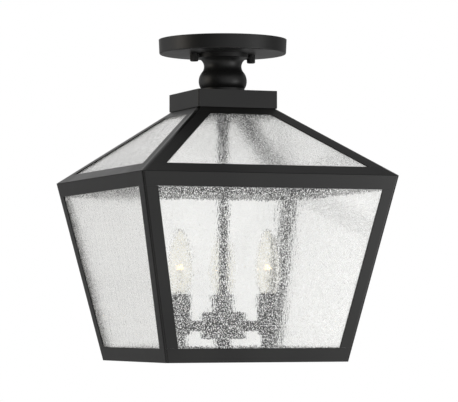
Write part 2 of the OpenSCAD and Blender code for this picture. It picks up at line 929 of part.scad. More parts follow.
// Moulded lampholders: wide mouth, narrow foot on the cup's floor
module lampholders() {
    foot_top_z = socket_z - socket_h;
    floor_z = cup_bottom_z + cup_wall;
    foot_r = cup_d / 2 - cup_edge_r - loose_gap;
    color("#1c1a19")
        for (n = lamps)
            at_lamp(n)
                difference() {
                    union() {
                        translate([0, 0, foot_top_z])
                            cylinder(r = socket_r, h = socket_h);
                        translate([0, 0, floor_z])
                            cylinder(r = foot_r, h = foot_top_z - floor_z);
                    }
                    translate([0, 0, base_end_z - loose_gap])
                        cylinder(r = socket_bore_r, h = base_len + cup_h);
                    translate([0, 0, floor_z - cut])
                        cylinder(r = pipe_r + thread_gap, h = cup_stud_up + loose_gap + cut);
                }
}

// ---------- bulbs ----------
// Radius of the bulb glass at height h above the cup's mouth
function bulb_r(h) =
    h < bulb_belly_at
        ? neck_glass_r + (bulb_d / 2 - neck_glass_r)
            * sin(90 * pow((h + base_neck) / (bulb_belly_at + base_neck), bulb_swell))
        : bulb_d / 2
            * pow(max(0, 1 - pow((h - bulb_belly_at) / (bulb_h - bulb_belly_at), bulb_shoulder)),
                bulb_tip);

// Heights are packed closer towards the tip, where the outline turns fastest
function bulb_height(s) = -base_neck + (bulb_h + base_neck) * sin(90 * s);

function bulb_line(t, steps) = [
    for (i = [0:steps])
        let (h = bulb_height(i / steps))
            [max(0, bulb_r(h) - t), cup_z + h - t * pow(i / steps, 3)]
];

module bulb_glass(n) {
    outer = bulb_line(0, 28);
    inner = bulb_line(bulb_wall, 28);
    color("#f4f1e6", 0.35)
        at_lamp(n)
            rotate_extrude()
                polygon(concat(outer, [for (i = [len(inner) - 1:-1:0]) inner[i]]));
}

// Screw shell, insulator and contact in one turned shape
module bulb_base(n) {
    shell_end = base_len - contact_h - insulator_h;
    color("#c7a24b")
        at_lamp(n)
            translate([0, 0, cup_z - base_neck])
                rotate_extrude()
                    polygon([
                        [0, 0], [base_d / 2, 0], [base_d / 2, -shell_end],
                        [contact_r * 1.3, -shell_end - insulator_h],
                        [contact_r, -shell_end - insulator_h], [contact_r, -base_len],
                        [0, -base_len]
                    ]);
}

// Glass stem with two wires that hold an arched filament
module bulb_filament(n) {
    stem_r = 2.2;
    wire_r = 0.3;
    wire_gap = 4.5;
    glow_r = 0.5;
    arch = 5;
    stem_z = cup_z - base_neck;
    wire_z = cup_z + filament_at - arch / 2;
    stem_h = filament_at / 2 + base_neck;
    color("#e9b45a")
        at_lamp(n) {
            translate([0, 0, stem_z])
                cylinder(r = stem_r, h = stem_h);
            for (side = [-1, 1]) {
                rod_between([0, side * stem_r * 0.6, stem_z + stem_h - 1],
                    [0, side * wire_gap, wire_z], wire_r);
                rod_between([0, side * wire_gap, wire_z], [0, 0, wire_z + arch], glow_r);
            }
        }
}

// Round rod between two points of the YZ plane
module rod_between(a, b, r) {
    d = b - a;
    translate(a)
        rotate([-atan2(d[1], d[2]), 0, 0])
            translate([0, 0, -r / 2])
                cylinder(r = r, h = norm(d) + r);
}

box_strap();
stud_strap();
strap_eyelet();
ground_screw();
mounting_studs();
stud_lock_nuts();
canopy();
canopy_gasket();
canopy_locknut();
nut_washer(-1);  // nut_washer_left
nut_washer(1);  // nut_washer_right
thumb_nut(-1);  // thumb_nut_left
thumb_nut(1);  // thumb_nut_right
stem_nipple();
neck();
roof_cap();
roof_strap();
stem_coupler();
centre_rod();
roof_top_band();
roof_eave_band();
hip_rail(0);  // hip_rail_1
hip_rail(1);  // hip_rail_2
hip_rail(2);  // hip_rail_3
hip_rail(3);  // hip_rail_4
roof_pane(0);  // roof_glass_front
roof_pane(1);  // roof_glass_right
roof_pane(2);  // roof_glass_back
roof_pane(3);  // roof_glass_left
body_eave_band();
body_bottom_band();
eave_rivets();
corner_post(0);  // corner_post_1
corner_post(1);  // corner_post_2
corner_post(2);  // corner_post_3
corner_post(3);  // corner_post_4
body_pane(0);  // body_glass_front
body_pane(1);  // body_glass_right
body_pane(2);  // body_glass_back
body_pane(3);  // body_glass_left
glazing_clips();
hub();
hub_cover();
finial();
lamp_arms();
cup_finials();
lampholders();
lamp_cup(0);  // lamp_cup_1
lamp_cup(1);  // lamp_cup_2
lamp_cup(2);  // lamp_cup_3
bulb_glass(0);  // bulb_glass_1
bulb_glass(1);  // bulb_glass_2
bulb_glass(2);  // bulb_glass_3
bulb_base(0);  // bulb_base_1
bulb_base(1);  // bulb_base_2
bulb_base(2);  // bulb_base_3
bulb_filament(0);  // bulb_filament_1
bulb_filament(1);  // bulb_filament_2
bulb_filament(2);  // bulb_filament_3
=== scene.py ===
# Porch ceiling lantern: powder-coated sheet frame, seeded panes, threads and candle bulbs,
# in a plain studio.
import bpy, bmesh, json, math
from bisect import bisect_right
from mathutils import Matrix, Vector
from mathutils.bvhtree import BVHTree


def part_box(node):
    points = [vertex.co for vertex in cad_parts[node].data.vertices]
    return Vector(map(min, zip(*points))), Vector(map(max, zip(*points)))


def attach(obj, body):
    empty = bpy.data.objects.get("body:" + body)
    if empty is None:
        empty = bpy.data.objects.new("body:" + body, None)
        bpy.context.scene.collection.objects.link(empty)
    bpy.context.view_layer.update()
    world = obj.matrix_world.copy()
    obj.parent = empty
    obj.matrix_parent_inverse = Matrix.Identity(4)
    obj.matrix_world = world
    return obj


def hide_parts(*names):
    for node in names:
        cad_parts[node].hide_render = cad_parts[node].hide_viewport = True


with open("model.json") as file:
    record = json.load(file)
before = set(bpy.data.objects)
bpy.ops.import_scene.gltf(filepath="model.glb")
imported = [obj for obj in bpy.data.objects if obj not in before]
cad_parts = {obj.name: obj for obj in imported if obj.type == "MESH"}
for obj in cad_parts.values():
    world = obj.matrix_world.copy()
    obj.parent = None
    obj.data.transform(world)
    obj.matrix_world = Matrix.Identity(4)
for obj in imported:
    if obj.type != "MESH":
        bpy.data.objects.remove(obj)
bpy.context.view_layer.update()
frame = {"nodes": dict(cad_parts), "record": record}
nodes = frame["nodes"]
record = frame["record"]
scene = bpy.context.scene
mm = 0.001
bodyOf = {node: body for body, members in record["behaviour"]["bodies"].items()
          for node in members}
slotOf = {part["node"]: part["material_slot"] for part in record["subparts"]}


def addObject(name, data):
    made = bpy.data.objects.new(name, data)
    scene.collection.objects.link(made)
    return made


camera = {
    "azimuth": -21.256,       # degrees round the lantern from its front
    "distance": 2.978,        # metres from the lantern's axis
    "height": -0.3184,        # metres, so it stands below the ceiling plane
    "heading": -21.390,       # degrees, where it looks
    "pitch": 2.569,           # degrees upwards
    "roll": -0.092,
    "lens": 204.8,            # mm
    "sensor": 36,             # mm wide
    "reach": 200,             # metres to the far clip
}


def makeCamera(p):
    azimuth, heading, pitch, roll = (
        math.radians(p[key]) for key in ("azimuth", "heading", "pitch", "roll"))
    level = Vector((math.cos(heading), math.sin(heading), 0))
    forward = Vector((-math.sin(heading) * math.cos(pitch), math.cos(heading) * math.cos(pitch),
                      math.sin(pitch)))
    right = level * math.cos(roll) + level.cross(forward) * math.sin(roll)
    up = right.cross(forward)
    data = bpy.data.cameras.new("photoCamera")
    data.sensor_width = p["sensor"]
    data.lens = p["lens"]
    data.clip_end = p["reach"]
    cam = addObject("photoCamera", data)
    place = Vector((math.sin(azimuth) * p["distance"], -math.cos(azimuth) * p["distance"],
                    p["height"]))
    turn = Matrix((right, up, -forward)).transposed().to_4x4()
    cam.matrix_world = Matrix.Translation(place) @ turn
    scene.camera = cam


makeCamera(camera)
print("camera in place")


def hexColour(text, alpha=1.0):
    # sRGB hex to the linear values that the shaders take
    values = [int(text[i:i + 2], 16) / 255 for i in (1, 3, 5)]
    return [v / 12.92 if v <= 0.04045 else ((v + 0.055) / 1.055) ** 2.4 for v in values] + [alpha]


def linkInputs(tree, node, links):
    for name, source in links.items():
        tree.links.new(source, node.inputs[name])


def addNode(tree, kind, settings=None, links=None):
    # settings are attributes or unlinked sockets; "stops" fills a colour ramp
    node = tree.nodes.new(kind)
    for name, value in (settings or {}).items():
        if name == "stops":
            ramp = node.color_ramp.elements
            while len(ramp) < len(value):
                ramp.new(0.5)
            for element, (at, colour) in zip(ramp, value):
                element.position = at
                element.color = hexColour(colour)
        elif isinstance(name, str) and hasattr(node, name):
            setattr(node, name, value)
        else:
            node.inputs[name].default_value = value
    linkInputs(tree, node, links or {})
    return node


def newMaterial(name, settings):
    material = bpy.data.materials.new(name)
    material.use_nodes = True
    tree = material.node_tree
    tree.nodes.clear()
    shader = addNode(tree, "ShaderNodeBsdfPrincipled", settings)
    addNode(tree, "ShaderNodeOutputMaterial", links={"Surface": shader.outputs[0]})
    return material, tree, shader


def surfacePattern(tree, size, detail=1.0, stretch=(1, 1, 1), roughness=0.5):
    # a cloudy pattern fixed to the piece, its grains size metres across
    place = addNode(tree, "ShaderNodeTexCoord")
    scaled = addNode(tree, "ShaderNodeMapping", {"Scale": [1 / (size * s) for s in stretch]},
                     {"Vector": place.outputs["Object"]})
    return addNode(tree, "ShaderNodeTexNoise",
                   {"Scale": 1.0, "Detail": detail, "Roughness": roughness},
                   {"Vector": scaled.outputs[0]}).outputs["Fac"]


patternFrom, patternTo = 0.3, 0.7     # the values of a cloudy pattern lie between these


def twoTones(first, second):
    return {"stops": [(patternFrom, first), (patternTo, second)]}


def dressSurface(tree, shader, cloud, colours, roughness, marks, depth):
    # colour and gloss drift with the cloud, the relief follows the marks
    colour = addNode(tree, "ShaderNodeValToRGB", twoTones(*colours), {"Fac": cloud})
    gloss = addNode(tree, "ShaderNodeMapRange",
                    {"From Min": patternFrom, "From Max": patternTo,
                     "To Min": roughness[0], "To Max": roughness[1]}, {"Value": cloud})
    bump = addNode(tree, "ShaderNodeBump", {"Distance": depth}, {"Height": marks})
    linkInputs(tree, shader, {"Base Color": colour.outputs["Color"],
                              "Roughness": gloss.outputs[0], "Normal": bump.outputs[0]})


powderCoat = {
    "colours": ("#0c0c0c", "#141413"),
    "roughness": (0.35, 0.43),
    "cloud": 60 * mm,         # slow change of film thickness
    "grain": 1.6 * mm,        # orange peel of a sprayed powder coat
    "peelDepth": 0.012 * mm,
    "gloss": 0.36,            # specular level of the satin resin
}
# the same film levels out over a bend
bentCoat = {**powderCoat, "peelDepth": 0.004 * mm, "roughness": (0.17, 0.21)}


def blackPowderCoat(name, p):
    # polyester powder baked on steel: near black, satin, a faint orange peel
    material, tree, shader = newMaterial(name, {"IOR": 1.5, "Specular IOR Level": p["gloss"]})
    dressSurface(tree, shader, surfacePattern(tree, p["cloud"]), p["colours"], p["roughness"],
                 surfacePattern(tree, p["grain"]), p["peelDepth"])
    return material


clearGlass = {"IOR": 1.5, "Roughness": 0.0, "Transmission Weight": 1.0}
seededPane = {
    "tint": "#fefefd",
    "pit": 0.95 * mm,         # the real pits are finer: drawn as coarse as a render's pixels
    "pitStretch": 1.5,        # they are drawn out down the pane
    "pitFrom": (0.535, 0.57),   # pattern value at which a pit starts: higher gives fewer
    "pitBreak": 0.6,          # how far the finer noise breaks them up
    "pitRoughness": 0.5,
    "pitWhite": 0.6,          # share of the light that a pit throws back
    "streak": 1.5 * mm,       # drawn waves, long down the pane
    "innerStreak": 6 * mm,    # wider on the rolled face
    "streakLength": 9.0,
    "streakDepth": 0.12 * mm,
}


def pittedGlass(p):
    # outer face of cast seeded glass: fine pits scatter the light, so dark things behind it
    # turn to salt and pepper
    material, tree, shader = newMaterial("pittedCastGlass", {
        "Base Color": hexColour(p["tint"]), "IOR": clearGlass["IOR"]})
    pits = surfacePattern(tree, p["pit"], stretch=(1, 1, p["pitStretch"]),
                          roughness=p["pitBreak"])
    limits = {"From Min": p["pitFrom"][0], "From Max": p["pitFrom"][1]}
    scatter = addNode(tree, "ShaderNodeMapRange",
                      {**limits, "To Min": 0.0, "To Max": p["pitRoughness"]}, {"Value": pits})
    clear = addNode(tree, "ShaderNodeMapRange",
                    {**limits, "To Min": 1.0, "To Max": 1 - p["pitWhite"]}, {"Value": pits})
    streaks = surfacePattern(tree, p["streak"], stretch=(1, 1, p["streakLength"]))
    bump = addNode(tree, "ShaderNodeBump", {"Distance": p["streakDepth"]}, {"Height": streaks})
    linkInputs(tree, shader, {"Roughness": scatter.outputs[0],
                              "Transmission Weight": clear.outputs[0], "Normal": bump.outputs[0]})
    return material


def wavyGlass(name, tint, waves, depth):
    # clear and smooth, with only slow waves
    material, tree, shader = newMaterial(name, {"Base Color": hexColour(tint), **clearGlass})
    bump = addNode(tree, "ShaderNodeBump", {"Distance": depth},
                   {"Height": surfacePattern(tree, **waves)})
    linkInputs(tree, shader, {"Normal": bump.outputs[0]})
    return material


def rolledGlass(p):
    # inner face of the same panes, pressed smooth by the roller
    waves = {"size": p["innerStreak"], "stretch": (1, 1, p["streakLength"])}
    return wavyGlass("rolledGlassFace", p["tint"], waves, p["streakDepth"])


bulbGlass = {"tint": "#fdfcf8", "wave": 9 * mm, "waveDepth": 0.1 * mm}


def blownGlass(p):
    # thin blown envelope of a candle bulb
    waves = {"size": p["wave"], "detail": 0.0}
    return wavyGlass("clearBlownGlass", p["tint"], waves, p["waveDepth"])


smallFinishes = {
    # colour, worn colour, roughness from and to, grain and depth of the marks in mm,
    # their stretch up the piece, metallic
    "brightZincPlate": ("#a9adb2", "#c3c6c9", 0.28, 0.42, 3, 0.01, 1, 1.0),      # faint spangle
    "turnedBrass": ("#b08a3c", "#c9a352", 0.25, 0.38, 2, 0.01, 0.2, 1.0),        # tool rings
    "rolledBrassShell": ("#b7944a", "#d0b068", 0.2, 0.34, 2.5, 0.01, 1, 1.0),    # thin, bright
    "drawnNickelWire": ("#a8a49b", "#bdb9b0", 0.25, 0.35, 1, 0.004, 4, 1.0),     # long die marks
    "solderTip": ("#9a9c9e", "#b4b6b8", 0.3, 0.5, 1.2, 0.05, 1, 1.0),            # dull blob
    "greenScrewDye": ("#155a33", "#22713f", 0.3, 0.42, 1, 0.01, 1, 0.0),         # dyed passivation
    "closedCellFoam": ("#1b1b1d", "#2a2a2c", 0.85, 0.95, 0.8, 0.15, 1, 0.0),     # matt, open pores
    "mouldedPhenolic": ("#151413", "#1f1d1b", 0.38, 0.5, 2, 0.01, 1, 0.0),       # half gloss
    "blackVitrite": ("#0d0d12", "#17171d", 0.08, 0.16, 3, 0.02, 1, 0.0),         # fused, glossy
}


def smallFinish(name, colour, worn, smooth, rough, grain, depth, stretch, metallic):
    material, tree, shader = newMaterial(name, {"Metallic": metallic})
    marks = surfacePattern(tree, grain * mm, detail=3.0, stretch=(1, 1, stretch))
    dressSurface(tree, shader, marks, (colour, worn), (smooth, rough), marks, depth * mm)
    return material


hotWire = {
    "colours": ("#5d5852", "#7a746c"),
    "roughness": (0.3, 0.5),
    "grain": 0.4 * mm,        # die marks
    "glow": "#ffd591",
    "strength": 5.0,
}


def glowingTungsten(p):
    # coiled tungsten at yellow heat, dimmed as on a warm setting
    material, tree, shader = newMaterial("glowingTungsten", {
        "Metallic": 1.0, "Emission Color": hexColour(p["glow"]),
        "Emission Strength": p["strength"]})
    drawn = surfacePattern(tree, p["grain"])
    tone = addNode(tree, "ShaderNodeValToRGB", twoTones(*p["colours"]), {"Fac": drawn})
    gloss = addNode(tree, "ShaderNodeMapRange",
                    {"To Min": p["roughness"][0], "To Max": p["roughness"][1]}, {"Value": drawn})
    linkInputs(tree, shader, {"Base Color": tone.outputs["Color"], "Roughness": gloss.outputs[0]})
    return material


finish = {name: smallFinish(name, *values) for name, values in smallFinishes.items()}
finish.update({
    "powderCoat": blackPowderCoat("satinBlackPowderCoat", powderCoat),
    "bentCoat": blackPowderCoat("levelledPowderCoat", bentCoat),
    "pittedGlass": pittedGlass(seededPane),
    "rolledGlass": rolledGlass(seededPane),
    "blownGlass": blownGlass(bulbGlass),
    "tungsten": glowingTungsten(hotWire),
})
slotFinish = {
    "black_powder_coat": "powderCoat", "seeded_glass": "pittedGlass",
    "bulb_clear_glass": "blownGlass", "zinc_steel": "brightZincPlate", "brass": "turnedBrass",
    "bulb_base_brass": "rolledBrassShell", "earth_screw_green": "greenScrewDye",
    "foam": "closedCellFoam", "lampholder_plastic": "mouldedPhenolic", "filament": "tungsten",
}
for name, piece in nodes.items():
    piece.data.materials.clear()
    piece.data.materials.append(finish[slotFinish[slotOf[name]]])
print("finishes on", len(nodes), "nodes")


def addPiece(name, mesh, finishes, node):
    # the piece stands for the CAD node and rides on its body
    piece = addObject(name, mesh)
    for f in finishes:
        mesh.materials.append(finish[f])
    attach(piece, bodyOf[node])
    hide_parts(node)
    return piece


def meshOf(bm, name):
    mesh = bpy.data.meshes.new(name)
    bm.to_mesh(mesh)
    bm.free()
    return mesh


merging = {
    "corners": 0.001 * mm,    # corners closer than this are one
    "flat": 0.5,              # degrees: faces that meet flatter than this are one
    "poles": 0.0005 * mm,     # the same for turned shapes
}


def mergedCopy(node):
    # a node's mesh is loose triangles: its corners are joined and its flat faces made whole
    bm = bmesh.new()
    bm.from_mesh(nodes[node].data)
    bmesh.ops.remove_doubles(bm, verts=bm.verts, dist=merging["corners"])
    bmesh.ops.dissolve_limit(bm, angle_limit=math.radians(merging["flat"]), verts=bm.verts,
                             edges=bm.edges)
    bm.normal_update()
    return bm


fold, innerFold, cutEdge, eaveEdge = 1, 2, 3, 4     # kinds of edge
flatFace, bentFace = 0, 1     # places of the two coats on a sheet piece
rimMark = 2                   # added to a rounded cut edge's faces until the shading is set
turnedTo = 0.3                # cosine from which a face or edge counts as turned that way

foldedSheet = {
    "bend": 3.2 * mm,         # outside radius of a fold in the 1.2 mm sheet, with its paint
    "capBend": 1.4 * mm,
    "innerBend": 1.4 * mm,
    "edge": 0.40 * mm,        # paint builds up round on a cut edge
    "seam": 0.75 * mm,        # and rounder on the edge under the eave
    "shortest": 5 * mm,       # edges shorter than this stay sharp
    "touching": 0.06 * mm,    # an edge this close to another piece is a closed joint, kept sharp
    "topWithin": 0.1 * mm,    # an edge this close to a band's top is its top edge
    "corner": 25,             # degrees: flatter edges are part of a face
    "rim": 60,                # degrees: sharper ends of a fold are cut edges
    "shaded": 50,             # degrees: sharper edges stay visible in the shading
    "steps": {fold: 6, innerFold: 3, cutEdge: 2, eaveEdge: 3},
}
posts = [f"corner_post_{n}" for n in (1, 2, 3, 4)]
hips = [f"hip_rail_{n}" for n in (1, 2, 3, 4)]
bands = ["roof_cap", "roof_top_band", "roof_eave_band", "body_eave_band", "body_bottom_band"]
surfaces = {node: BVHTree.FromPolygons([v.co for v in nodes[node].data.vertices],
                                       [f.vertices for f in nodes[node].data.polygons])
            for node in posts + hips + bands}


def joined(edge, node, gap):
    # another piece lies against the edge at two of three places along it
    a, b = (v.co for v in edge.verts)
    others = [tree for other, tree in surfaces.items() if other != node]
    hits = [any(tree.find_nearest(a.lerp(b, t), gap)[0] for tree in others)
            for t in (0.25, 0.5, 0.75)]
    return sum(hits) > 1


def isFold(edge, sign):
    # the corner of two faces that both look outwards (or both inwards), on an edge that rises
    a, b = (v.co for v in edge.verts)
    outward = ((a + b) / 2 * Vector((1, 1, 0))).normalized()
    return abs(b.z - a.z) > turnedTo * (b - a).length and all(
        sign * f.normal.dot(outward) > turnedTo for f in edge.link_faces)


def foldSheet(node, p, bend):
    bm = mergedCopy(node)
    kind = bm.edges.layers.int.new("kind")
    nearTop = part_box(node)[1].z - p["topWithin"]

    def cutKind(e):
        if joined(e, node, p["touching"]):
            return 0
        underEave = (node == "body_eave_band" and e.is_convex
                     and max(v.co.z for v in e.verts) > nearTop)
        return eaveEdge if underEave else cutEdge

    def roundEdges(wanted, radius, place):
        made = bmesh.ops.bevel(bm, geom=[e for e in bm.edges if e[kind] == wanted],
                               offset=radius, offset_type="OFFSET", segments=p["steps"][wanted],
                               profile=0.5, affect="EDGES", clamp_overlap=True)
        for face in made["faces"]:
            face.smooth = True
            face.material_index = place

    for e in bm.edges:
        if (e.is_manifold and e.calc_length() > p["shortest"]
                and e.calc_face_angle() > math.radians(p["corner"])):
            if isFold(e, 1 if e.is_convex else -1):
                e[kind] = fold if e.is_convex else innerFold
            else:
                e[kind] = cutKind(e)
    roundEdges(fold, bend, bentFace)
    roundEdges(innerFold, p["innerBend"], bentFace)
    for e in bm.edges:        # the ends of a fold are cut edges too
        if e[kind] < cutEdge:
            rim = (e.is_manifold and e.calc_face_angle() > math.radians(p["rim"])
                   and any(f.material_index == bentFace for f in e.link_faces))
            e[kind] = cutKind(e) if rim else 0
    roundEdges(eaveEdge, p["seam"], rimMark + bentFace)
    roundEdges(cutEdge, p["edge"], rimMark + flatFace)
    # a rounded cut edge keeps its shading to itself, so that the fold shades as a cylinder
    for e in bm.edges:
        sides = {f.material_index // rimMark for f in e.link_faces}
        e.smooth = len(sides) == 1 and e.calc_face_angle(0) < math.radians(p["shaded"])
    for face in bm.faces:
        face.material_index %= rimMark
    addPiece(node + "_painted", meshOf(bm, node), ["powderCoat", "bentCoat"], node)


for node in posts + hips + bands:
    foldSheet(node, foldedSheet, foldedSheet["capBend" if node == "roof_cap" else "bend"])
print("sheet folded and its edges rounded on", len(posts + hips + bands), "pieces")

outerFace, otherFaces = 0, 1      # places of the two glass faces on a pane


def makePane(node):
    bm = mergedCopy(node)
    centre = sum((v.co for v in bm.verts), Vector()) / len(bm.verts)
    outward = Vector((centre.x, centre.y, 0)).normalized()
    for face in bm.faces:
        face.material_index = outerFace if face.normal.dot(outward) > turnedTo else otherFaces
    return addPiece(node + "_cast", meshOf(bm, node), ["pittedGlass", "rolledGlass"], node)


panes = [makePane(node) for node in nodes if slotOf[node] == "seeded_glass"]
print("panes", len(panes))


def geometryTree(name, inputs):
    # a Geometry Nodes tree with named inputs, and the identifier of each
    tree = bpy.data.node_groups.new(name, "GeometryNodeTree")
    for way in ("OUTPUT", "INPUT"):
        tree.interface.new_socket(name="Geometry", in_out=way, socket_type="NodeSocketGeometry")
    keys = {}
    for label, value in inputs.items():
        kind = "NodeSocketInt" if isinstance(value, int) else "NodeSocketFloat"
        keys[label] = tree.interface.new_socket(name=label, in_out="INPUT",
                                                socket_type=kind).identifier
    return tree, addNode(tree, "NodeGroupInput").outputs, keys


def endTree(tree, geometry, material):
    # plain geometry with its material, because the export drops instances
    real = addNode(tree, "GeometryNodeRealizeInstances", links={0: geometry})
    dressed = addNode(tree, "GeometryNodeSetMaterial", {"Material": finish[material]},
                      {"Geometry": real.outputs[0]})
    addNode(tree, "NodeGroupOutput", links={0: dressed.outputs[0]})


def runTree(tree, keys, values, mesh):
    carrier = addObject("carrier", mesh)
    step = carrier.modifiers.new("tree", "NODES")
    step.node_group = tree
    for label, value in values.items():
        step[keys[label]] = value
    ready = carrier.evaluated_get(bpy.context.evaluated_depsgraph_get())
    made = bpy.data.meshes.new_from_object(ready)
    bpy.data.objects.remove(carrier)
    return made


seeds = {                     # each is an input of the tree
    "Density": 900.0,         # seeds to the square metre of pane
    "Width": 0.9 * mm,
    "Length": 2.6 * mm,       # of the longest, drawn out down the pane
    "Height": 0.35 * mm,      # proud of the face
    "Seed": 7,
}
seedField = {
    "smallest": (0.6, 0.3, 0.6),      # shares of the largest seed's width, length and height
    "share": 0.86,            # of the pane's width and height: none lie under the rails
}


def makeSeeds(p, field):
    # bubbles that stand at the face of the cast glass as small blisters
    tree, given, keys = geometryTree("glassSeeds", p)
    points = addNode(tree, "GeometryNodeDistributePointsOnFaces", links={
        "Mesh": given["Geometry"], "Density": given["Density"], "Seed": given["Seed"]})
    flat = addNode(tree, "FunctionNodeAlignRotationToVector", {"axis": "Z"},
                   {"Vector": points.outputs["Normal"]})
    hanging = addNode(tree, "FunctionNodeAlignRotationToVector",
                      {"axis": "Y", "pivot_axis": "Z", "Vector": (0, 0, 1)},
                      {"Rotation": flat.outputs[0]})
    largest = addNode(tree, "ShaderNodeCombineXYZ", links={
        "X": given["Width"], "Y": given["Length"], "Z": given["Height"]})
    smallest = addNode(tree, "ShaderNodeVectorMath",
                       {"operation": "MULTIPLY", 1: field["smallest"]}, {0: largest.outputs[0]})
    size = addNode(tree, "FunctionNodeRandomValue", {"data_type": "FLOAT_VECTOR"},
                   {0: smallest.outputs[0], 1: largest.outputs[0], "Seed": given["Seed"]})
    # a blister is one metre across until its scale is set
    blister = addNode(tree, "GeometryNodeMeshIcoSphere", {"Radius": 0.5, "Subdivisions": 2})
    smooth = addNode(tree, "GeometryNodeSetShadeSmooth", links={"Geometry": blister.outputs[0]})
    placed = addNode(tree, "GeometryNodeInstanceOnPoints", links={
        "Points": points.outputs["Points"], "Instance": smooth.outputs[0],
        "Rotation": hanging.outputs[0], "Scale": size.outputs[0]})
    endTree(tree, placed.outputs[0], "rolledGlass")
    bm = bmesh.new()
    for pane in panes:
        bm.from_mesh(pane.data)
    inside = [f for f in bm.faces if f.material_index == otherFaces]
    bmesh.ops.delete(bm, geom=inside, context="FACES")
    for face in bm.faces:
        centre = face.calc_center_median()
        for v in face.verts:
            v.co = centre + (v.co - centre) * field["share"]
    made = runTree(tree, keys, p, meshOf(bm, "seedFaces"))
    piece = addObject("glass_seeds", made)
    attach(piece, bodyOf["body_glass_front"])
    return len(made.polygons)


print("seed faces", makeSeeds(seeds, seedField))

onAxis = 1e-7                 # metres: a turned shape's point this close to the axis is a pole
outerWall = 0.9               # share of the radius from which a wall takes its knurl or thread


def turned(bm, outline, centre=(0, 0), sides=32, finishes=None, shape=None):
    # turns (radius, z) points round an upright axis; shape may change the radius with the angle
    rings = []
    for r, z in outline:
        ring = []
        for i in range(sides if r > onAxis else 1):
            turn = 2 * math.pi * i / sides
            out = shape(r, z, turn) if shape else r
            ring.append(bm.verts.new((centre[0] + out * math.cos(turn),
                                      centre[1] + out * math.sin(turn), z)))
        rings.append(ring)
    for k, (a, b) in enumerate(zip(rings, rings[1:])):
        for i in range(sides):
            j = (i + 1) % sides
            corners = [a[i % len(a)], b[i % len(b)], b[j % len(b)], a[j % len(a)]]
            corners = [v for n, v in enumerate(corners) if v not in corners[:n]]
            if len(corners) > 2:
                face = bm.faces.new(corners)
                face.smooth = True
                face.material_index = finishes[k] if finishes else 0


def sweep(bm, path, radius, sides, finish):
    # a round wire along a path of points
    rings = []
    side = Vector((0.3, 0.5, 0.8))      # any direction that no wire follows
    for k, p in enumerate(path):
        along = (path[min(k + 1, len(path) - 1)] - path[max(k - 1, 0)]).normalized()
        side = (side - along * side.dot(along)).normalized()
        other = along.cross(side)
        turns = [2 * math.pi * i / sides for i in range(sides)]
        rings.append([bm.verts.new(p + radius * (side * math.cos(t) + other * math.sin(t)))
                      for t in turns])
    faces = [bm.faces.new(rings[0][::-1]), bm.faces.new(rings[-1])]
    for a, b in zip(rings, rings[1:]):
        for i in range(sides):
            j = (i + 1) % sides
            faces.append(bm.faces.new((a[i], a[j], b[j], b[i])))
    for face in faces:
        face.smooth = True
        face.material_index = finish


def closed(bm):
    # joins the poles and seams of turned shapes and turns their faces outwards
    bmesh.ops.remove_doubles(bm, verts=bm.verts, dist=merging["poles"])
    bmesh.ops.recalc_face_normals(bm, faces=bm.faces)
    return bm


def sharpMesh(bm, name, degrees):
    mesh = meshOf(bm, name)
    mesh.set_sharp_from_angle(angle=math.radians(degrees))
    return mesh


# each is an input of the tree, and every thread gets its own length
screwThread = {"Radius": 2.05 * mm, "Pitch": 0.794 * mm, "Depth": 0.36 * mm, "Length": 20.0 * mm}
pipeThread = {"Radius": 5.1 * mm, "Pitch": 0.941 * mm, "Depth": 0.42 * mm, "Length": 20.0 * mm}
threadSteps = 20              # to a turn
threadEnds = 0.05 * mm        # plain metal past the ends of a ridge
threadFoot = 0.9              # share of the ridge that stands clear of the core
stud = {"tip": 0.75, "point": 0.5 * mm, "chamfer": 0.2 * mm, "sides": 20, "sharp": 30}
stem = {"bore": 3.4 * mm, "chamfer": 0.3 * mm, "sides": 40, "sharp": 30}


def threadTree(inputs):
    # a helical ridge that winds up from the origin
    tree, given, keys = geometryTree("screwThread", inputs)
    turns = addNode(tree, "ShaderNodeMath", {"operation": "DIVIDE"},
                    {0: given["Length"], 1: given["Pitch"]})
    root = addNode(tree, "ShaderNodeMath", {"operation": "SUBTRACT"},
                   {0: given["Radius"], 1: given["Depth"]})
    helix = addNode(tree, "GeometryNodeCurveSpiral", {"Resolution": threadSteps}, {
        "Rotations": turns.outputs[0], "Start Radius": root.outputs[0],
        "End Radius": root.outputs[0], "Height": given["Length"]})
    ridge = addNode(tree, "GeometryNodeCurvePrimitiveCircle", {"Resolution": 4},
                    {"Radius": given["Depth"]})
    swept = addNode(tree, "GeometryNodeCurveToMesh", {"Fill Caps": True}, {
        "Curve": helix.outputs[0], "Profile Curve": ridge.outputs[0]})
    endTree(tree, swept.outputs[0], "brightZincPlate")
    return tree, keys


threads = threadTree(screwThread)


def addThread(bm, size, centre, low, high):
    margin = size["Depth"] + threadEnds
    values = {**size, "Length": high - low - 2 * margin}
    ridge = runTree(*threads, values, bpy.data.meshes.new("start"))
    ridge.transform(Matrix.Translation((centre[0], centre[1], low + margin)))
    bm.from_mesh(ridge)


def makeStuds(p, size):
    low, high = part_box("mounting_studs")
    core = size["Radius"] - threadFoot * size["Depth"]
    centres = [(side * (high.x - size["Radius"]), 0) for side in (-1, 1)]
    outline = [(0, low.z), (p["tip"] * core, low.z), (core, low.z + p["point"]),
               (core, high.z - p["chamfer"]), (core - p["chamfer"], high.z), (0, high.z)]
    bm = bmesh.new()
    for centre in centres:
        turned(bm, outline, centre, p["sides"])
    closed(bm)
    for centre in centres:
        addThread(bm, size, centre, low.z, high.z)
    addPiece("threaded_studs", sharpMesh(bm, "studs", p["sharp"]), ["brightZincPlate"],
             "mounting_studs")


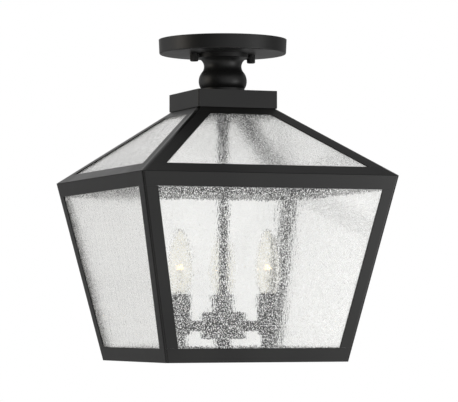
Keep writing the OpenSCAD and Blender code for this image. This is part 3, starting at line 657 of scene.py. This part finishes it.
def makeStem(p, size):
    low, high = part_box("stem_nipple")
    core, bore, chamfer = size["Radius"] - threadFoot * size["Depth"], p["bore"], p["chamfer"]
    outline = [(bore, low.z), (core - chamfer, low.z), (core, low.z + chamfer),
               (core, high.z - chamfer), (core - chamfer, high.z), (bore, high.z), (bore, low.z)]
    bm = bmesh.new()
    turned(bm, outline, sides=p["sides"])
    closed(bm)
    addThread(bm, size, (0, 0), low.z, high.z)
    addPiece("threaded_stem", sharpMesh(bm, "stem", p["sharp"]), ["turnedBrass"], "stem_nipple")


makeStuds(stud, screwThread)
makeStem(stem, pipeThread)
print("threads cut")

thumbNut = {
    "teeth": 36,              # straight knurl
    "toothDepth": 0.22 * mm,
    "toothShape": 0.7,        # under 1 for round crests and narrow valleys
    "collar": 1.0 * mm,       # smooth above the knurl
    "footCollar": 0.4 * mm,   # and below it
    "footRound": 6,           # the foot is turned in by this part of the radius
    "boreDepth": 5.9 * mm,
    "bore": 2.1 * mm,
    "chamfer": 0.2 * mm,
    "soft": 0.1 * mm,         # softened corners of the foot
    "flare": 0.3 * mm,
    "runOut": 0.01 * mm,      # the knurl ends within this
    "sharp": 35,
}


def makeThumbNut(node, p):
    low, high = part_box(node)
    r, x = (high.x - low.x) / 2, (high.x + low.x) / 2
    top, foot, rim = high.z, low.z, r / p["footRound"]
    chamfer, soft, bore = p["chamfer"], p["soft"], p["bore"]
    start, end = foot + rim + p["footCollar"], top - p["collar"]

    def teeth(radius, z, turn):
        if radius < outerWall * r or not start <= z <= end:
            return radius
        return radius - p["toothDepth"] * abs(math.sin(turn * p["teeth"] / 2)) ** p["toothShape"]

    outline = [
        (0, foot), (r - rim - p["flare"], foot), (r - rim, foot + soft),
        (r - soft, foot + rim - soft), (r, foot + rim + chamfer),
        (r, start - p["runOut"]), (r, start), (r, (foot + top) / 2), (r, end),
        (r, end + p["runOut"]), (r, top - chamfer), (r - chamfer, top),
        (bore, top), (bore, top - p["boreDepth"]), (0, top - p["boreDepth"])]
    bm = bmesh.new()
    turned(bm, outline, (x, 0), 4 * p["teeth"], shape=teeth)
    addPiece(node + "_knurled", sharpMesh(closed(bm), node, p["sharp"]), ["powderCoat"], node)


for node in ("thumb_nut_left", "thumb_nut_right"):
    makeThumbNut(node, thumbNut)

shellPlace, vitritePlace, solderPlace = 0, 1, 2     # places of a lamp base's finishes
lampBase = {
    "pitch": 2.54 * mm,       # rolled thread of a small candle lamp base
    "wave": 0.42 * mm,        # half the depth of the thread
    "plainTop": 1.6 * mm,     # smooth above the thread
    "plainFoot": 0.3 * mm,    # and below it
    "fade": 1.0 * mm,         # length in which the thread grows to its full depth
    "lip": 0.2 * mm,          # rounding at the top
    "crimp": 0.4 * mm,        # turned in over the insulator
    "insulator": 3.0 * mm,
    "contact": 2.4 * mm,      # radius of the solder contact
    "contactHeight": 1.2 * mm,
    "contactRound": 0.5 * mm,     # height of its rounded end
    "contactTip": (0.7, 0.1 * mm),      # share of its radius at this height
    "shoulder": 1.3,          # foot of the insulator, in contact radii
    "rings": 56,
    "sides": 40,
    "sharp": 40,
}


def makeLampBase(node, p):
    low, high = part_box(node)
    centre = ((low.x + high.x) / 2, (low.y + high.y) / 2)
    r, top, contact = (high.x - low.x) / 2, high.z, p["contact"]
    glassFoot = low.z + p["contactHeight"]
    foot = glassFoot + p["insulator"]
    half = p["lip"] / 2

    def rolled(radius, z, turn):
        if radius < outerWall * r:
            return radius
        fade = min(1, max(0, (top - p["plainTop"] - z) / p["fade"]),
                   max(0, (z - foot - p["plainFoot"]) / p["fade"]))
        return radius - p["wave"] * fade * (1 - math.cos(2 * math.pi * z / p["pitch"] - turn))

    shell = [(r, top - half - (top - foot - p["lip"]) * i / p["rings"])
             for i in range(p["rings"] + 1)]
    tip, tipHeight = p["contactTip"]
    outline = [(0, top), (r - p["lip"], top), *shell, (r - p["crimp"], foot),
               (p["shoulder"] * contact, glassFoot), (contact, glassFoot),
               (contact, low.z + p["contactRound"]), (tip * contact, low.z + tipHeight),
               (0, low.z)]
    places = [shellPlace] * (len(shell) + 2) + [vitritePlace] * 2 + [solderPlace] * 3
    bm = bmesh.new()
    turned(bm, outline, centre, p["sides"], places, rolled)
    addPiece(node + "_rolled", sharpMesh(closed(bm), node, p["sharp"]),
             ["rolledBrassShell", "blackVitrite", "solderTip"], node)


glassPlace, wirePlace, coilPlace = 0, 1, 2      # places of a filament's finishes
filament = {
    "glassFoot": [(0, 0), (4.6, 0), (4.2, 0.6), (2.9, 4), (2.1, 8)],    # mm: radius, height
    "glassTop": [(2.1, 4), (1.9, 1), (1.2, 0), (0, 0)],       # mm: radius, depth below the press
    "glassSides": 24,
    "press": 19 * mm,         # height of the pinched end that holds the leads
    "rooted": 2 * mm,         # length of lead in the glass
    "lead": 0.32 * mm,        # radius of a lead
    "leadGap": 1.1 * mm,      # half the distance of the leads in the glass
    "spread": 4.4 * mm,       # and at their ends
    "kneeIn": 0.4 * mm,
    "kneeUp": 3 * mm,         # above the press
    "arch": 4.5 * mm,
    "archShape": 0.75,        # under 1 for a fuller arch
    "archSteps": 24,
    "sag": 3.2 * mm,          # below the top of its node
    "support": 0.6,           # radius of the middle wire, in lead radii
    "supportKnee": 1.2 * mm,  # below the coil's top, where it bends out to hold the coil
    "supportEnd": 0.3 * mm,   # below the coil's top
    "supportOut": 0.5 * mm,
    "wireSides": (8, 6, 5),   # of leads, support and coil
    "coil": 0.55 * mm,        # radius of the coil
    "coilPitch": 0.5 * mm,
    "coilSteps": 10,          # to a turn
    "wire": 0.14 * mm,        # radius of the wire
    "azimuths": (70, 190, 310),     # degrees: the way each coil faces
}


def coilAlong(path, facing, p):
    # points of a helix round a path
    lengths = [0]
    for a, b in zip(path, path[1:]):
        lengths.append(lengths[-1] + (b - a).length)
    turns = lengths[-1] / p["coilPitch"]
    steps = int(turns * p["coilSteps"])
    points = []
    for k in range(steps + 1):
        run = lengths[-1] * k / steps
        n = min(bisect_right(lengths, run + 1e-9), len(path) - 1) - 1
        t = (run - lengths[n]) / (lengths[n + 1] - lengths[n])
        up = (path[n + 1] - path[n]).normalized().cross(facing)
        angle = 2 * math.pi * turns * k / steps
        points.append(path[n].lerp(path[n + 1], t)
                      + p["coil"] * (facing * math.cos(angle) + up * math.sin(angle)))
    return points


def makeFilament(node, p, turn):
    low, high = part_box(node)
    centre = Vector(((low.x + high.x) / 2, (low.y + high.y) / 2, 0))
    across = Vector((-math.sin(turn), math.cos(turn), 0))
    facing = Vector((math.cos(turn), math.sin(turn), 0))
    foot, top = low.z, high.z - p["coil"] - p["wire"] - p["sag"]
    press = foot + p["press"]

    def point(out, z, way=across):
        return centre + way * out + Vector((0, 0, z))

    leadSides, supportSides, coilSides = p["wireSides"]
    bm = bmesh.new()
    glass = [(r * mm, foot + z * mm) for r, z in p["glassFoot"]]
    glass += [(r * mm, press - z * mm) for r, z in p["glassTop"]]
    turned(bm, glass, centre.xy, p["glassSides"], [glassPlace] * (len(glass) - 1))
    closed(bm)
    ends = []
    for side in (-1, 1):
        start = point(side * p["leadGap"], press - p["rooted"])
        knee = point(side * (p["spread"] - p["kneeIn"]), press + p["kneeUp"])
        end = point(side * p["spread"], top - p["arch"])
        lead = [start.lerp(knee, t / 4) for t in range(4)]
        lead += [knee.lerp(end, t / 4) for t in range(5)]
        sweep(bm, lead, p["lead"], leadSides, wirePlace)
        ends.append(end)
    support = [point(0, press - p["rooted"]), point(0, top - p["supportKnee"]),
               point(p["supportOut"], top - p["supportEnd"], facing)]
    sweep(bm, support, p["support"] * p["lead"], supportSides, wirePlace)
    arch = []
    for k in range(p["archSteps"] + 1):
        t = k / p["archSteps"]
        rise = p["arch"] * math.sin(math.pi * t) ** p["archShape"]
        arch.append(ends[0].lerp(ends[1], t) + Vector((0, 0, rise)))
    sweep(bm, coilAlong(arch, facing, p), p["wire"], coilSides, coilPlace)
    addPiece(node + "_wound", meshOf(bm, node), ["blownGlass", "drawnNickelWire", "tungsten"], node)


for n, azimuth in enumerate(filament["azimuths"], 1):
    makeLampBase(f"bulb_base_{n}", lampBase)
    makeFilament(f"bulb_filament_{n}", filament, math.radians(azimuth))
print("thumb nuts, lamp bases and filaments made")

studio = {
    "floor": -3.6,            # metres below the ceiling plane
    "floorHalf": 5.4,         # metres from its middle to an edge
    "floorColours": ("#fbfbfa", "#fdfdfc"),
    "floorCloud": 0.4,        # metres across a patch of the paint
    "floorRoughness": 0.8,
    "fill": 1.0,              # strength of the world on the object
    "mirrored": 0.28,         # strength of the room that paint and glass mirror
    "patches": [              # lighter and darker parts of that room:
        # direction, cosines at rim and middle, change
        ((0.42, -0.89, -0.08), 0.60, 0.99, 0.62),
        ((-0.85, 0.52, 0.05), 0.80, 0.97, 0.45),
        ((-0.90, -0.43, 0.0), 0.78, 0.95, -0.27),
        ((-0.34, -0.93, 0.12), 0.82, 0.97, 0.20),
        ((0.25, 0.25, 0.93), 0.70, 0.98, 0.12),
        ((0.20, 0.90, 0.38), 0.86, 0.97, 0.40),
    ],
}


def makeWorld(p):
    # plain white to the camera and through glass, even light on the object, the patchy room
    # in what it mirrors
    world = bpy.data.worlds.new("whiteStudio")
    scene.world = world
    world.use_nodes = True
    tree = world.node_tree
    tree.nodes.clear()
    path = addNode(tree, "ShaderNodeLightPath")
    seen = addNode(tree, "ShaderNodeMath", {"operation": "MAXIMUM"},
                   {0: path.outputs["Is Camera Ray"], 1: path.outputs["Is Transmission Ray"]})
    place = addNode(tree, "ShaderNodeTexCoord")
    mirrored = addNode(tree, "ShaderNodeValue")
    mirrored.outputs[0].default_value = p["mirrored"]
    for direction, rim, core, change in p["patches"]:
        side = addNode(tree, "ShaderNodeVectorMath", {"operation": "DOT_PRODUCT", 1: direction},
                       {0: place.outputs["Generated"]})
        patch = addNode(tree, "ShaderNodeMapRange", {
            "interpolation_type": "SMOOTHSTEP", "From Min": rim, "From Max": core,
            "To Max": change}, {"Value": side.outputs["Value"]})
        mirrored = addNode(tree, "ShaderNodeMath", {"operation": "ADD"},
                           {0: mirrored.outputs[0], 1: patch.outputs[0]})
    lit = addNode(tree, "ShaderNodeMapRange", {"To Min": p["fill"]},
                  {"Value": path.outputs["Is Glossy Ray"], "To Max": mirrored.outputs[0]})
    strength = addNode(tree, "ShaderNodeMapRange", {"To Max": 1.0},
                       {"Value": seen.outputs[0], "To Min": lit.outputs[0]})
    light = addNode(tree, "ShaderNodeBackground", {"Color": (1, 1, 1, 1)},
                    {"Strength": strength.outputs[0]})
    addNode(tree, "ShaderNodeOutputWorld", links={"Surface": light.outputs[0]})


def makeFloor(p):
    # matt white paint with a barely uneven tone
    mesh = bpy.data.meshes.new("studioFloor")
    half, level = p["floorHalf"], p["floor"]
    mesh.from_pydata([(-half, -half, level), (half, -half, level), (half, half, level),
                      (-half, half, level)], [], [(0, 1, 2, 3)])
    floor = addObject("studioFloor", mesh)
    material, tree, shader = newMaterial("paintedFloor", {"Roughness": p["floorRoughness"]})
    tone = addNode(tree, "ShaderNodeValToRGB", twoTones(*p["floorColours"]),
                   {"Fac": surfacePattern(tree, p["floorCloud"], detail=2.0)})
    linkInputs(tree, shader, {"Base Color": tone.outputs["Color"]})
    mesh.materials.append(material)


softboxes = {                 # metres and watts
    "nearRight": {"place": (0.78, -0.86, -0.40), "target": (0.1, -0.1, -0.25),
                  "size": (0.55, 0.70), "power": 2.9, "colour": "#ffffff"},
    "farLeft": {"place": (-2.0, 0.35, 0.2), "target": (0, 0, -0.2),
                "size": (1.0, 1.2), "power": 6, "colour": "#fff4e4"},
}


def makeSoftbox(name, p):
    data = bpy.data.lights.new(name, "AREA")
    data.shape = "RECTANGLE"
    data.size, data.size_y = p["size"]
    data.energy = p["power"]
    data.color = hexColour(p["colour"])[:3]
    lamp = addObject(name, data)
    lamp.location = p["place"]
    # out of sight: seen through the pitted glass it would burn out a pane
    lamp.visible_camera = lamp.visible_transmission = False
    lamp.rotation_mode = "QUATERNION"
    aim = Vector(p["target"]) - Vector(p["place"])
    lamp.rotation_quaternion = aim.to_track_quat("-Z", "Y")


makeWorld(studio)
makeFloor(studio)
for name, settings in softboxes.items():
    makeSoftbox(name, settings)
scene.view_settings.view_transform = "Standard"
print("studio lit")
